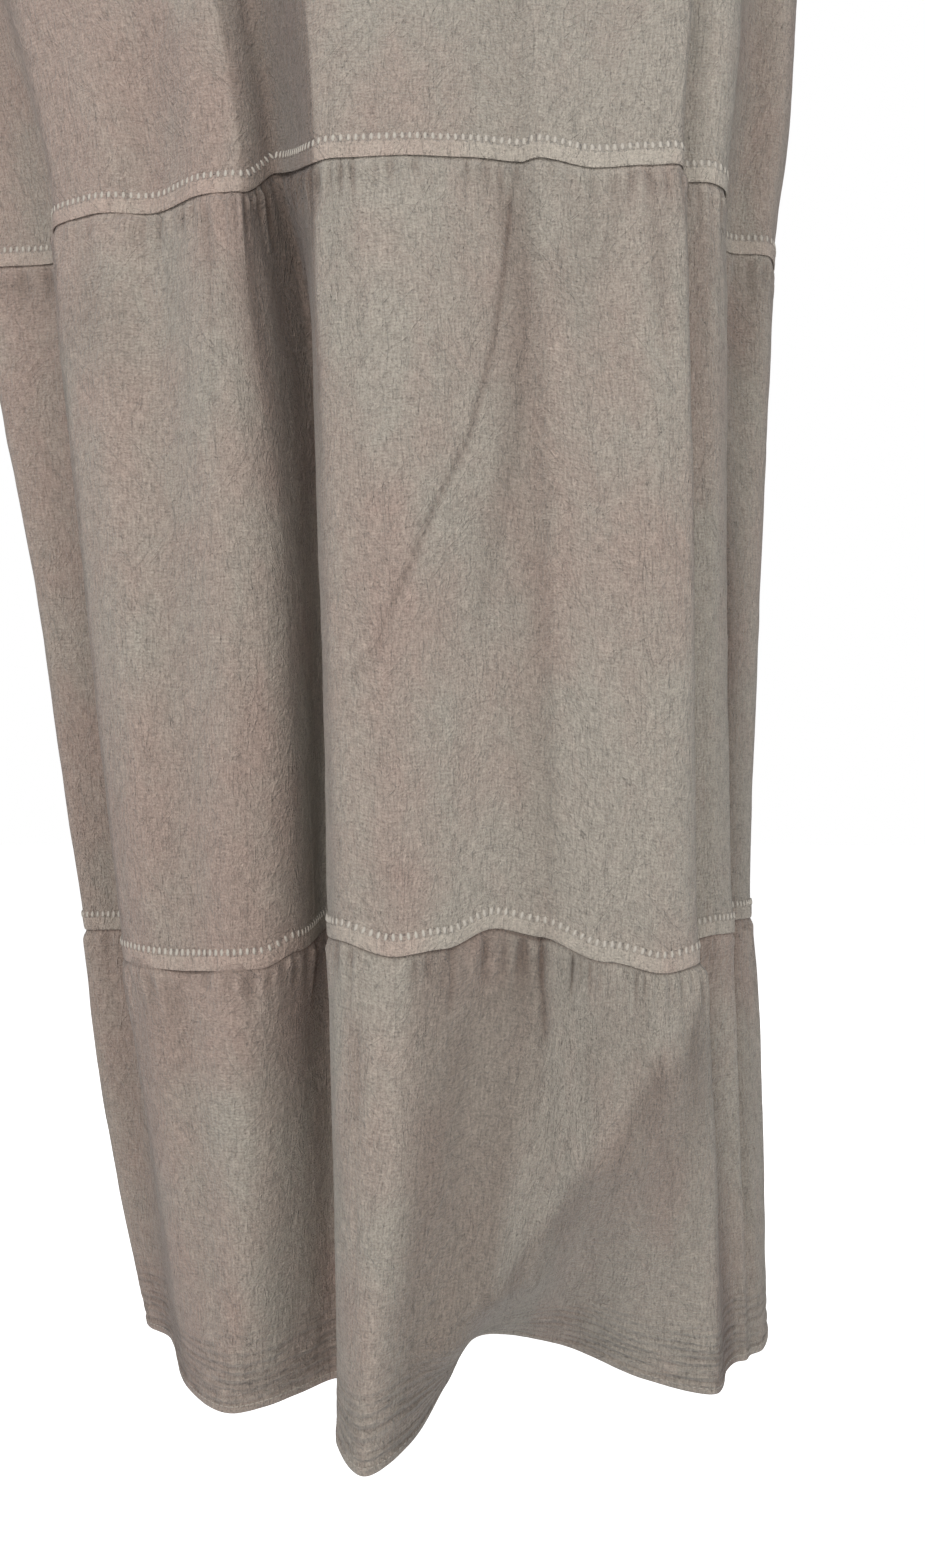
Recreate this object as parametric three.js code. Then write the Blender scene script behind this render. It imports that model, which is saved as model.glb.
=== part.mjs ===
// Tiered maxi dress in crinkled cotton gauze, empty and hanging filled out.
// Millimetres, +Z up, front towards -Y. The origin lies midway between the shoulder tops.
import * as THREE from "three";

// Driving sizes
const TOTAL_LENGTH = 1300;        // shoulder top to hem
const BODY_LENGTH = 680;          // shoulder top to the first seam
const MIDDLE_DROP = 380;          // first seam to second seam
const BOTTOM_DROP = TOTAL_LENGTH - BODY_LENGTH - MIDDLE_DROP;
const WALL = 1.2;                 // cloth wall
const SEAM_GAP = 0.3;             // air between two pieces at a seam
const BAND_HEIGHT = 10.5;         // topstitched seam allowance above each cross seam
const BAND_RAISE = 0.8;           // how far that allowance stands out
const HEM_HEIGHT = 4.8;           // turned hem
const HEM_RAISE = 0.45;           // extra thickness of the turned hem, each side
const GATHER_DEPTH = 1.7;         // deepest gather below a seam
const GATHER_FALL = 62;           // height over which gathers fade out
const NECK_HALF = 98;             // half width of the neck at the shoulder
const NECK_FRONT = 112;           // neck depth at centre front
const NECK_BACK = 34;             // neck depth at centre back
const SHOULDER_SLOPE = 0.34;      // fall of the shoulder line per mm outward
const SHOULDER_ROUND = 74;        // height over which the shoulder rounds over
const UNDERARM = -245;            // height of the underarm point

// One row per fold point, left side seam round the front to the right side seam, then round the back.
// seam1, middle, seam2, hem: x and y of the point at those levels. lift1, lift2: how far the seam
// line stands above its nominal level there. late: share of the bottom tier passed before the
// point leaves its place under the second seam. steps: grid steps to the next row. early: where
// given, the power by which the fold opens sooner below the first seam. pace: where given, the power
// of the sideways move in the bottom tier, above 1 later and below 1 sooner.
const FOLDS = [
  { name: "left side seam", seam1: [-222, 48], middle: [-192, 55], seam2: [-167, 56], hem: [-136, 74], lift1: 0, lift2: 0, late: 0, steps: 4, pace: 1.65 },
  { name: "left side panel", seam1: [-227, 14], middle: [-196, 20], seam2: [-170, 25], hem: [-139, 44], lift1: 0, lift2: 0, late: 0, steps: 4, pace: 1.65 },
  { name: "left side hollow", seam1: [-176, 0], middle: [-158, 11], seam2: [-141, 22], hem: [-122, 28], lift1: 0, lift2: 0, late: 0, steps: 4, pace: 1.65 },
  { name: "left fold outer edge", seam1: [-165, -41], middle: [-147, -48], seam2: [-124, -51], hem: [-97, -31], lift1: 0, lift2: -7, late: 0, steps: 6 },
  { name: "left fold front", seam1: [-106, -60], middle: [-100, -65], seam2: [-90, -67], hem: [-71, -56], lift1: 0, lift2: -10, late: 0, steps: 4 },
  { name: "left fold inner front", seam1: [-69, -76], middle: [-56, -69], seam2: [-54, -65], hem: [-52, -49], lift1: 0, lift2: -9, late: 0, steps: 4 },
  { name: "left fold inner edge", seam1: [-60, -77], middle: [-42, -61], seam2: [-36, -50], hem: [-37, -36], lift1: 0, lift2: -2, late: 0, steps: 4 },
  { name: "deep valley", seam1: [-45, -60], middle: [-27, -20], seam2: [-24, -14], hem: [-17, -20], lift1: 18, lift2: 6, late: 0, steps: 6, early: 3 },
  { name: "centre panel left edge", seam1: [-19, -106], middle: [-14, -105], seam2: [-9, -105], hem: [-11, -88], lift1: 0, lift2: 11, late: 0, steps: 4 },
  { name: "centre left crest", seam1: [0, -110], middle: [12, -111], seam2: [17, -112], hem: [4, -112], lift1: 0, lift2: 4, late: 0, steps: 4 },
  { name: "centre left front", seam1: [32, -109], middle: [38, -106], seam2: [41, -107], hem: [24, -84], lift1: 1, lift2: 7, late: 0.5, steps: 4 },
  { name: "centre crease", seam1: [58, -107], middle: [64, -98], seam2: [65, -96], hem: [41, -26], lift1: 2, lift2: 15, late: 0.8, steps: 4 },
  { name: "centre middle", seam1: [80, -110], middle: [88, -99], seam2: [91, -93], hem: [61, 31], lift1: 0, lift2: 9, late: 0.71, steps: 4 },
  { name: "centre right front", seam1: [110, -108], middle: [118, -101], seam2: [120, -95], hem: [107, 18], lift1: -4, lift2: -1, late: 0.42, steps: 4 },
  { name: "centre right panel", seam1: [138, -107], middle: [145, -99], seam2: [148, -92], hem: [150, -22], lift1: -2, lift2: -7, late: 0.2, steps: 4, pace: 0.8 },
  { name: "centre panel right edge", seam1: [154, -105], middle: [162, -92], seam2: [167, -80], hem: [185, -37], lift1: -1, lift2: -4, late: 0.05, steps: 4, pace: 0.5 },
  { name: "right tuck", seam1: [156, -88], middle: [160, -66], seam2: [167, -52], hem: [196, -12], lift1: 0, lift2: 3, late: 0, steps: 2 },
  { name: "right narrow fold", seam1: [172, -86], middle: [180, -57], seam2: [184, -44], hem: [204, -2], lift1: 0, lift2: 6, late: 0, steps: 2 },
  { name: "right fold outer edge", seam1: [181, -77], middle: [190, -41], seam2: [195, -35], hem: [210, 0], lift1: 0, lift2: 6, late: 0, steps: 4 },
  { name: "right hollow", seam1: [183, -42], middle: [187, -13], seam2: [191, -9], hem: [214, 6], lift1: 0, lift2: 8, late: 0, steps: 4 },
  { name: "right side panel", seam1: [198, -10], middle: [202, -6], seam2: [204, -4], hem: [222, 12], lift1: 0, lift2: 9, late: 0, steps: 4 },
  { name: "right side front", seam1: [221.5, -5], middle: [219, 8], seam2: [214.5, 9], hem: [230, 32], lift1: 0, lift2: 9, late: 0, steps: 4, pace: 0.7 },
  { name: "right side seam", seam1: [229, 40], middle: [221, 42], seam2: [216, 44], hem: [231, 64], lift1: 0, lift2: 6, late: 0, steps: 4 },
  { name: "back right outer fold", seam1: [206, 74], middle: [207, 84], seam2: [203, 92], hem: [219, 108], lift1: 0, lift2: 2, late: 0, steps: 4 },
  { name: "back right outer hollow", seam1: [172, 80], middle: [174, 70], seam2: [172, 66], hem: [189, 76], lift1: 0, lift2: 4, late: 0, steps: 4 },
  { name: "back right fold", seam1: [136, 99], middle: [139, 117], seam2: [136, 129], hem: [147, 168], lift1: 1, lift2: -3, late: 0, steps: 4 },
  { name: "back right hollow", seam1: [98, 102], middle: [97, 93], seam2: [92, 90], hem: [99, 99], lift1: 0, lift2: 2, late: 0, steps: 4 },
  { name: "back middle fold", seam1: [69, 110], middle: [69, 116], seam2: [68, 120], hem: [73, 152], lift1: -1, lift2: -5, late: 0, steps: 4 },
  { name: "back middle hollow", seam1: [34, 108], middle: [37, 84], seam2: [40, 74], hem: [44, 84], lift1: 0, lift2: 0, late: 0, steps: 4 },
  { name: "back centre fold", seam1: [-8, 113], middle: [-2, 130], seam2: [3, 143], hem: [5, 177], lift1: 1, lift2: -6, late: 0, steps: 4 },
  { name: "back left hollow", seam1: [-60, 106], middle: [-54, 99], seam2: [-50, 96], hem: [-47, 108], lift1: 0, lift2: 1, late: 0, steps: 4 },
  { name: "back left fold", seam1: [-97, 104], middle: [-88, 110], seam2: [-82, 115], hem: [-72, 146], lift1: -1, lift2: -4, late: 0, steps: 4 },
  { name: "back left outer hollow", seam1: [-140, 89], middle: [-116, 72], seam2: [-101, 64], hem: [-85, 72], lift1: 0, lift2: 2, late: 0, steps: 4 },
  { name: "back left outer fold", seam1: [-188, 83], middle: [-158, 96], seam2: [-138, 106], hem: [-115, 126], lift1: 0, lift2: 0, late: 0, steps: 4 },
];
const RIGHT_SEAM = FOLDS.findIndex((row) => row.name === "right side seam");

// One row per height of the body. half: half width, shift: sideways lean, deep: half depth, edge: how
// far the armhole edge stands from the middle plane, folds: how much of the skirt's folds is left there.
const BODY = [
  { z: -680, half: 228, shift: 0, deep: 108, edge: 0, folds: 1 },
  { z: -600, half: 240, shift: -3, deep: 110, edge: 0, folds: 0.92 },
  { z: -520, half: 251, shift: -9, deep: 113, edge: 0, folds: 0.72 },
  { z: -400, half: 259, shift: -6, deep: 117, edge: 0, folds: 0.34 },
  { z: -300, half: 258, shift: -2, deep: 121, edge: 0, folds: 0.08 },
  { z: -245, half: 247, shift: 0, deep: 122, edge: 0, folds: 0 },
  { z: -230, half: 226, shift: 0, deep: 122, edge: 22, folds: 0 },
  { z: -190, half: 205, shift: 0, deep: 120, edge: 45, folds: 0 },
  { z: -140, half: 190, shift: 0, deep: 115, edge: 53, folds: 0 },
  { z: -85, half: 191, shift: 0, deep: 106, edge: 50, folds: 0 },
  { z: 0, half: 203, shift: 0, deep: 96, edge: 46, folds: 0 },
];

const clamp01 = (v) => Math.min(1, Math.max(0, v));
const mix = (a, b, t) => a + (b - a) * t;
const smooth = (t) => t * t * (3 - 2 * t);

// Smooth curve through four neighbouring values at uneven stations.
function hermite(p0, p1, p2, p3, d0, d1, d2, t) {
  const m1 = ((p2 - p1) / d1 * d0 + (p1 - p0) / d0 * d1) / (d0 + d1) * d1;
  const m2 = ((p3 - p2) / d2 * d1 + (p2 - p1) / d1 * d2) / (d1 + d2) * d1;
  const t2 = t * t;
  const t3 = t2 * t;
  return p1 * (2 * t3 - 3 * t2 + 1) + m1 * (t3 - 2 * t2 + t) + p2 * (3 * t2 - 2 * t3) + m2 * (t3 - t2);
}

// Place of fold point number i at a level: 0 first seam, 1 middle, 2 second seam, 3 hem.
function foldPoint(i, level) {
  const row = FOLDS[((i % FOLDS.length) + FOLDS.length) % FOLDS.length];
  const keys = [row.seam1, row.middle, row.seam2, row.hem];
  const k = Math.min(2, Math.max(0, Math.floor(level)));
  const t = level - k;
  const a = keys[Math.max(0, k - 1)];
  const b = keys[k];
  const c = keys[k + 1];
  const d = keys[Math.min(3, k + 2)];
  if (k === 0 && row.early) {
    const e = 1 - (1 - t) ** row.early;
    return [mix(b[0], c[0], e), mix(b[1], c[1], e)];
  }
  const paced = k === 2 && row.pace;
  const x = paced ? mix(b[0], c[0], t ** row.pace) : hermite(a[0], b[0], c[0], d[0], 1, 1, 1, t);
  if (k === 2 && row.late > 0) {
    const p = clamp01((t - row.late) / (1 - row.late));
    return [x, mix(b[1], c[1], p ** 1.15)];
  }
  return [x, hermite(a[1], b[1], c[1], d[1], 1, 1, 1, t)];
}

// Point of the closed ring at column c (fold row number plus a share) and a level.
function ringPoint(c, level) {
  const i = Math.floor(c);
  const p = [foldPoint(i - 1, level), foldPoint(i, level), foldPoint(i + 1, level), foldPoint(i + 2, level)];
  const d = [0, 1, 2].map((k) => Math.sqrt(Math.hypot(p[k + 1][0] - p[k][0], p[k + 1][1] - p[k][1])));
  return [0, 1].map((k) => hermite(p[0][k], p[1][k], p[2][k], p[3][k], d[0], d[1], d[2], c - i));
}

// Value of one named column of the fold table at column c.
function foldValue(c, key) {
  const n = FOLDS.length;
  const i = Math.floor(c);
  return mix(FOLDS[i % n][key], FOLDS[(i + 1) % n][key], smooth(c - i));
}

// Share of the way round the front or back at column c, measured along the first seam.
const SHARES = (() => {
  const lengths = FOLDS.map((_, i) => {
    const a = foldPoint(i, 0);
    const b = foldPoint(i + 1, 0);
    return Math.hypot(b[0] - a[0], b[1] - a[1]);
  });
  const shares = [];
  const parts = [[0, RIGHT_SEAM], [RIGHT_SEAM, FOLDS.length]];
  for (const [start, end] of parts) {
    const total = lengths.slice(start, end).reduce((s, v) => s + v, 0);
    let run = 0;
    for (let i = start; i < end; i += 1) {
      shares.push(run / total);
      run += lengths[i];
    }
  }
  return shares;
})();

function across(c) {
  const back = c >= RIGHT_SEAM;
  const i = Math.floor(c);
  const start = SHARES[i];
  const end = i + 1 === RIGHT_SEAM || i + 1 === FOLDS.length ? 1 : SHARES[i + 1];
  const s = mix(start, end, c - i) * 2 - 1;
  return back ? -s : s;
}

function bodyValue(z, key) {
  const last = BODY.length - 2;
  let k = BODY.findIndex((row) => row.z > z) - 1;
  k = k < -1 ? last : Math.min(last, Math.max(0, k));
  const q = (i) => BODY[Math.min(last + 1, Math.max(0, i))];
  const d = (i) => Math.max(1, q(i + 1).z - q(i).z);
  const t = clamp01((z - q(k).z) / d(k));
  return hermite(q(k - 1)[key], q(k)[key], q(k + 1)[key], q(k + 2)[key], d(k - 1), d(k), d(k + 1), t);
}

// Height of the shoulder and neck edge at a share s across, -1 to 1.
function topEdge(s, neckDepth) {
  const neckShare = NECK_HALF / 203;
  const a = Math.abs(s);
  if (a >= neckShare) {
    return -(a - neckShare) * 203 * SHOULDER_SLOPE;
  }
  return -neckDepth * (1 - (a / neckShare) ** 2.4) ** 0.85;
}

// Body surface: column c round the ring, v from the first seam (0) to the shoulder and neck edge (1).
function bodyPoint(c, v, side) {
  const s = side === "front" ? across(c) : -across(c);
  const x = side === "front" ? s : -s;
  const low = -BODY_LENGTH + foldValue(c, "lift1");
  const high = topEdge(x, side === "front" ? NECK_FRONT : NECK_BACK);
  const z = mix(low, high, v);
  const half = bodyValue(z, "half");
  const deep = bodyValue(z, "deep");
  const edge = Math.max(0, bodyValue(z, "edge"));
  const folds = clamp01(bodyValue(z, "folds"));
  const lean = mix(0, 14, folds);
  const open = z > UNDERARM ? 1 : 0;
  const px = half * (open ? x : mix(Math.sin(x * Math.PI / 2), x, smooth(clamp01((z + 420) / 175))));
  const bow = Math.pow(Math.max(0, Math.cos(Math.abs(px / half) ** 1.25 * Math.PI / 2)), 0.75);
  const roof = -Math.max(0, Math.abs(x) * 203 - NECK_HALF) * SHOULDER_SLOPE;
  const fall = clamp01((roof - z) / SHOULDER_ROUND);
  const round = Math.sqrt(Math.max(0, 1 - (1 - fall) ** 2));
  const py = (edge + (deep - edge) * bow) * round + SEAM_GAP / 2;
  const ring = ringPoint(c, 0);
  const fx = ring[0] * half / 228;
  const sign = side === "front" ? -1 : 1;
  return new THREE.Vector3(mix(px, fx, folds) + bodyValue(z, "shift"), mix(sign * py + lean, ring[1], folds), z);
}

// Tier surface: column c, v from the upper seam (0) to the lower edge (1).
function tierPoint(c, v, tier) {
  if (tier === "middle") {
    const [x, y] = ringPoint(c, 2 * v);
    const top = -BODY_LENGTH + foldValue(c, "lift1") - SEAM_GAP;
    const low = -BODY_LENGTH - MIDDLE_DROP + foldValue(c, "lift2");
    return new THREE.Vector3(x, y, mix(top, low, v));
  }
  const [x, y] = ringPoint(c, 2 + v);
  const top = -BODY_LENGTH - MIDDLE_DROP + foldValue(c, "lift2") - SEAM_GAP;
  return new THREE.Vector3(x, y, mix(top, -TOTAL_LENGTH, v));
}

// Columns of a panel between two fold rows; every second one lies in a gather.
function columnsBetween(start, end, coarse) {
  const list = [];
  for (let i = start; i < end; i += 1) {
    const n = FOLDS[i % FOLDS.length].steps / (coarse ? 2 : 1);
    for (let k = 0; k < n; k += 1) {
      list.push({ c: i + k / n, dip: coarse ? 0 : k % 2 });
    }
  }
  list.push({ c: end, dip: 0 });
  return list;
}

// The same columns, with the two that lie nearest to the corners of the neck moved on to them.
function withNeckCorners(columns) {
  const moved = columns.map((column) => ({ ...column }));
  for (const corner of [-NECK_HALF / 203, NECK_HALF / 203]) {
    const offs = columns.map((column) => across(column.c) - corner);
    const cross = offs.findIndex((off, k) => k < offs.length - 2 && off * offs[k + 1] <= 0);
    const share = offs[cross] / (offs[cross] - offs[cross + 1]);
    const nearest = share < 0.5 ? cross : cross + 1;
    moved[nearest].c = mix(columns[cross].c, columns[cross + 1].c, share);
  }
  return moved;
}

// Depth of the gather at a drop below the seam; its length changes from gather to gather.
function gatherDepth(c, drop) {
  const fall = GATHER_FALL * (0.78 + 0.3 * Math.sin(c * 5.3) + 0.12 * Math.sin(c * 12.1));
  const rise = smooth(clamp01(drop / 9)) * 0.6 + 0.4;
  return GATHER_DEPTH * rise * (1 - smooth(clamp01(drop / fall)));
}

// Closed wall from rows of points; each row keeps its own columns, outer and inner offsets.
function wall(name, surface, rows, back, colour) {
  const points = [];
  const add = (p) => points.push(p.x, p.y, p.z) / 3 - 1;
  const outer = [];
  const inner = [];
  const step = 1e-3;
  for (const row of rows) {
    const o = [];
    const n = [];
    const cs = row.columns;
    cs.forEach((column, k) => {
      const first = k === 0;
      const last = k === cs.length - 1;
      const here = last ? column.c - 1e-6 : column.c;
      const p = surface(here, row.v);
      const along = surface(last ? here : here + step, row.v).sub(surface(first ? here : here - step, row.v));
      const down = surface(here, Math.min(1, row.v + step)).sub(surface(here, Math.max(0, row.v - step)));
      if (row.upward) {
        down.negate();
      }
      const normal = new THREE.Vector3().crossVectors(down, along).normalize();
      if (row.level) {
        normal.setZ(0).normalize();
      }
      if (first || last) {
        const share = row.upward ? clamp01(bodyValue(p.z, "edge") / 20) : 0;
        normal.lerp(new THREE.Vector3(Math.sign(p.x), 0, 0), 1 - share).normalize();
        p.y += (back ? 0.5 : -0.5) * SEAM_GAP;
      }
      const dip = column.dip && row.drop !== undefined ? gatherDepth(column.c, row.drop) : 0;
      o.push(add(p.clone().addScaledVector(normal, WALL / 2 + row.out - dip)));
      n.push(add(p.clone().addScaledVector(normal, -WALL / 2 - row.in - dip)));
    });
    outer.push(o);
    inner.push(n);
  }
  const faces = [];
  const tri = (a, b, c, flip) => (flip ? faces.push(a, c, b) : faces.push(a, b, c));
  // Joins two rows that may differ in their number of columns.
  const zip = (upper, lower, upperC, lowerC, flip) => {
    let i = 0;
    let j = 0;
    while (i < upper.length - 1 || j < lower.length - 1) {
      const nextI = i < upper.length - 1 ? upperC[i + 1].c : Infinity;
      const nextJ = j < lower.length - 1 ? lowerC[j + 1].c : Infinity;
      if (Math.abs(nextI - nextJ) < 1e-9) {
        tri(upper[i], lower[j], lower[j + 1], flip);
        tri(upper[i], lower[j + 1], upper[i + 1], flip);
        i += 1;
        j += 1;
      } else if (nextI < nextJ) {
        tri(upper[i], lower[j], upper[i + 1], flip);
        i += 1;
      } else {
        tri(upper[i], lower[j], lower[j + 1], flip);
        j += 1;
      }
    }
  };
  for (let r = 0; r < rows.length - 1; r += 1) {
    const a = rows[r].columns;
    const b = rows[r + 1].columns;
    zip(outer[r], outer[r + 1], a, b, false);
    zip(inner[r], inner[r + 1], a, b, true);
    const la = outer[r].length - 1;
    const lb = outer[r + 1].length - 1;
    tri(inner[r][0], inner[r + 1][0], outer[r + 1][0], false);
    tri(inner[r][0], outer[r + 1][0], outer[r][0], false);
    tri(outer[r][la], outer[r + 1][lb], inner[r + 1][lb], false);
    tri(outer[r][la], inner[r + 1][lb], inner[r][la], false);
  }
  const end = rows.length - 1;
  zip(inner[0], outer[0], rows[0].columns, rows[0].columns, false);
  zip(outer[end], inner[end], rows[end].columns, rows[end].columns, false);
  const geometry = new THREE.BufferGeometry();
  geometry.setAttribute("position", new THREE.Float32BufferAttribute(points, 3));
  geometry.setIndex(faces);
  geometry.computeVertexNormals();
  const mesh = new THREE.Mesh(geometry, new THREE.MeshStandardMaterial({ color: colour, roughness: 0.95, metalness: 0 }));
  mesh.name = name;
  return mesh;
}

// Rows of a tier from its upper seam down. The lower edge carries a raised band or a turned hem.
function tierRows(columns, drop, foot, heights, out, inn) {
  const rows = heights.map((h) => ({ v: h / drop, drop: h, out: 0, in: 0, columns }));
  rows.push({ v: (drop - foot - 0.4) / drop, out: 0, in: 0, columns });
  rows.push({ v: (drop - foot) / drop, out, in: inn, columns });
  rows.push({ v: 1, out, in: inn, columns, level: true });
  rows[0].level = true;
  return rows;
}

// Rows of the body from the shoulder and neck edge down to the band at the first seam.
function bodyRows(fine, coarse) {
  const height = BODY_LENGTH;
  const upper = [1, 0.992, 0.972, 0.94, 0.89, 0.83, 0.76, 0.7, 0.655, 0.63, 0.5, 0.37];
  const rows = upper.map((v) => ({ v, out: 0, in: 0, columns: coarse, upward: true }));
  rows.push({ v: 0.24, out: 0, in: 0, columns: fine, upward: true });
  rows.push({ v: 0.12, out: 0, in: 0, columns: fine, upward: true });
  rows.push({ v: (BAND_HEIGHT + 0.4) / height, out: 0, in: 0, columns: fine, upward: true });
  rows.push({ v: BAND_HEIGHT / height, out: BAND_RAISE, in: 0, columns: fine, upward: true });
  rows.push({ v: 0, out: BAND_RAISE, in: 0, columns: fine, upward: true, level: true });
  return rows;
}

const COLOUR = 0xa89d92;
const group = new THREE.Group();
group.name = "tiered_maxi_dress";
const sides = [
  { side: "front", start: 0, end: RIGHT_SEAM },
  { side: "back", start: RIGHT_SEAM, end: FOLDS.length },
];
for (const { side, start, end } of sides) {
  const fine = columnsBetween(start, end, false);
  const coarse = withNeckCorners(columnsBetween(start, end, true));
  const back = side === "back";
  const middleHeights = [0, 7, 20, 40, 66, 160, 270];
  const bottomHeights = [0, 7, 20, 40, 66, 108, 150, 196];
  group.add(wall(`body_${side}`, (c, v) => bodyPoint(c, v, side), bodyRows(fine, coarse), back, COLOUR));
  group.add(wall(`middle_tier_${side}`, (c, v) => tierPoint(c, v, "middle"),
    tierRows(fine, MIDDLE_DROP, BAND_HEIGHT, middleHeights, BAND_RAISE, 0), back, COLOUR));
  group.add(wall(`bottom_tier_${side}`, (c, v) => tierPoint(c, v, "bottom"),
    tierRows(fine, BOTTOM_DROP, HEM_HEIGHT, bottomHeights, HEM_RAISE, HEM_RAISE), back, COLOUR));
}

export default group;
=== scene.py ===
import math

import bpy
import numpy as np
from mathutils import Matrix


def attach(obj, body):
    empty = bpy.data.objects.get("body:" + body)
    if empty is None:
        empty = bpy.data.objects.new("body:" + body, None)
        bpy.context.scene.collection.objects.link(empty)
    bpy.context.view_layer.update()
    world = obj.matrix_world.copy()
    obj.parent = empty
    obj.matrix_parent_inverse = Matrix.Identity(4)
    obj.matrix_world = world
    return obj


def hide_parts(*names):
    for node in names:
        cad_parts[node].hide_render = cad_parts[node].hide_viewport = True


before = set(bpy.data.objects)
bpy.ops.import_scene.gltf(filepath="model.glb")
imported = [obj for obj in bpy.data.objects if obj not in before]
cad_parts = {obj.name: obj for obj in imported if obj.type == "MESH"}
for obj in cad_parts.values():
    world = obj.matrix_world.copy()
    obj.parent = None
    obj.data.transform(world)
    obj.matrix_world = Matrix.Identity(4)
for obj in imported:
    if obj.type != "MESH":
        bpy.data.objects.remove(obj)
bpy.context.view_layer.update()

bl_info = {
    "name": "Tiered maxi dress",
    "version": (1, 0, 0),
    "blender": (4, 5, 0),
    "location": "View3D > Sidebar > Dress",
    "description": "A tiered maxi dress in crinkled cotton gauze with gathered tiers, seams and hem",
    "category": "Object",
}

# Sizes in millimetres. The ring of the cloth is the same as in the solids.
MM = 0.001
TOTAL = 1300.0
BODY_LENGTH = 680.0
MIDDLE_DROP = 380.0
BOTTOM_DROP = TOTAL - BODY_LENGTH - MIDDLE_DROP
NECK_HALF = 98.0
NECK_FRONT = 112.0
NECK_BACK = 34.0
SHOULDER_SLOPE = 0.34
SHOULDER_ROUND = 74.0
UNDERARM = -245.0
SHOULDER_HALF = 203.0  # half the width of the body table's shoulder row
FIRST_SEAM_HALF = 228.0  # half the width of its row at the first seam

# One row per fold point, left side seam round the front to the right side seam, then round the back.
# Columns: x and y at the first seam, half way down the middle tier, at the second seam and at the hem,
# rise of each seam line there, share of the bottom tier passed before the point leaves its place,
# the power by which a fold opens sooner below the first seam, and the power of the sideways move in
# the bottom tier, above 1 later and below 1 sooner.
COLUMNS = ("x1", "y1", "xm", "ym", "x2", "y2", "xh", "yh", "lift1", "lift2", "late", "early", "pace")
FOLDS = {
    "left side seam": (-222, 48, -192, 55, -167, 56, -136, 74, 0, 0, 0, 1, 1.65),
    "left side panel": (-227, 14, -196, 20, -170, 25, -139, 44, 0, 0, 0, 1, 1.65),
    "left side hollow": (-176, 0, -158, 11, -141, 22, -122, 28, 0, 0, 0, 1, 1.65),
    "left fold outer edge": (-165, -41, -147, -48, -124, -51, -97, -31, 0, -7, 0, 1, 1),
    "left fold front": (-106, -60, -100, -65, -90, -67, -71, -56, 0, -10, 0, 1, 1),
    "left fold inner front": (-69, -76, -56, -69, -54, -65, -52, -49, 0, -9, 0, 1, 1),
    "left fold inner edge": (-60, -77, -42, -61, -36, -50, -37, -36, 0, -2, 0, 1, 1),
    "deep valley": (-45, -60, -27, -20, -24, -14, -17, -20, 18, 6, 0, 3, 1),
    "centre panel left edge": (-19, -106, -14, -105, -9, -105, -11, -88, 0, 11, 0, 1, 1),
    "centre left crest": (0, -110, 12, -111, 17, -112, 4, -112, 0, 4, 0, 1, 1),
    "centre left front": (32, -109, 38, -106, 41, -107, 24, -84, 1, 7, 0.5, 1, 1),
    "centre crease": (58, -107, 64, -98, 65, -96, 41, -26, 2, 15, 0.8, 1, 1),
    "centre middle": (80, -110, 88, -99, 91, -93, 61, 31, 0, 9, 0.71, 1, 1),
    "centre right front": (110, -108, 118, -101, 120, -95, 107, 18, -4, -1, 0.42, 1, 1),
    "centre right panel": (138, -107, 145, -99, 148, -92, 150, -22, -2, -7, 0.2, 1, 0.8),
    "centre panel right edge": (154, -105, 162, -92, 167, -80, 185, -37, -1, -4, 0.05, 1, 0.5),
    "right tuck": (156, -88, 160, -66, 167, -52, 196, -12, 0, 3, 0, 1, 1),
    "right narrow fold": (172, -86, 180, -57, 184, -44, 204, -2, 0, 6, 0, 1, 1),
    "right fold outer edge": (181, -77, 190, -41, 195, -35, 210, 0, 0, 6, 0, 1, 1),
    "right hollow": (183, -42, 187, -13, 191, -9, 214, 6, 0, 8, 0, 1, 1),
    "right side panel": (198, -10, 202, -6, 204, -4, 222, 12, 0, 9, 0, 1, 1),
    "right side front": (221.5, -5, 219, 8, 214.5, 9, 230, 32, 0, 9, 0, 1, 0.7),
    "right side seam": (229, 40, 221, 42, 216, 44, 231, 64, 0, 6, 0, 1, 1),
    "back right outer fold": (206, 74, 207, 84, 203, 92, 219, 108, 0, 2, 0, 1, 1),
    "back right outer hollow": (172, 80, 174, 70, 172, 66, 189, 76, 0, 4, 0, 1, 1),
    "back right fold": (136, 99, 139, 117, 136, 129, 147, 168, 1, -3, 0, 1, 1),
    "back right hollow": (98, 102, 97, 93, 92, 90, 99, 99, 0, 2, 0, 1, 1),
    "back middle fold": (69, 110, 69, 116, 68, 120, 73, 152, -1, -5, 0, 1, 1),
    "back middle hollow": (34, 108, 37, 84, 40, 74, 44, 84, 0, 0, 0, 1, 1),
    "back centre fold": (-8, 113, -2, 130, 3, 143, 5, 177, 1, -6, 0, 1, 1),
    "back left hollow": (-60, 106, -54, 99, -50, 96, -47, 108, 0, 1, 0, 1, 1),
    "back left fold": (-97, 104, -88, 110, -82, 115, -72, 146, -1, -4, 0, 1, 1),
    "back left outer hollow": (-140, 89, -116, 72, -101, 64, -85, 72, 0, 2, 0, 1, 1),
    "back left outer fold": (-188, 83, -158, 96, -138, 106, -115, 126, 0, 0, 0, 1, 1),
}
TABLE = np.array(list(FOLDS.values()), float)
ROWS = len(TABLE)
RIGHT_SEAM = list(FOLDS).index("right side seam")

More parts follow.
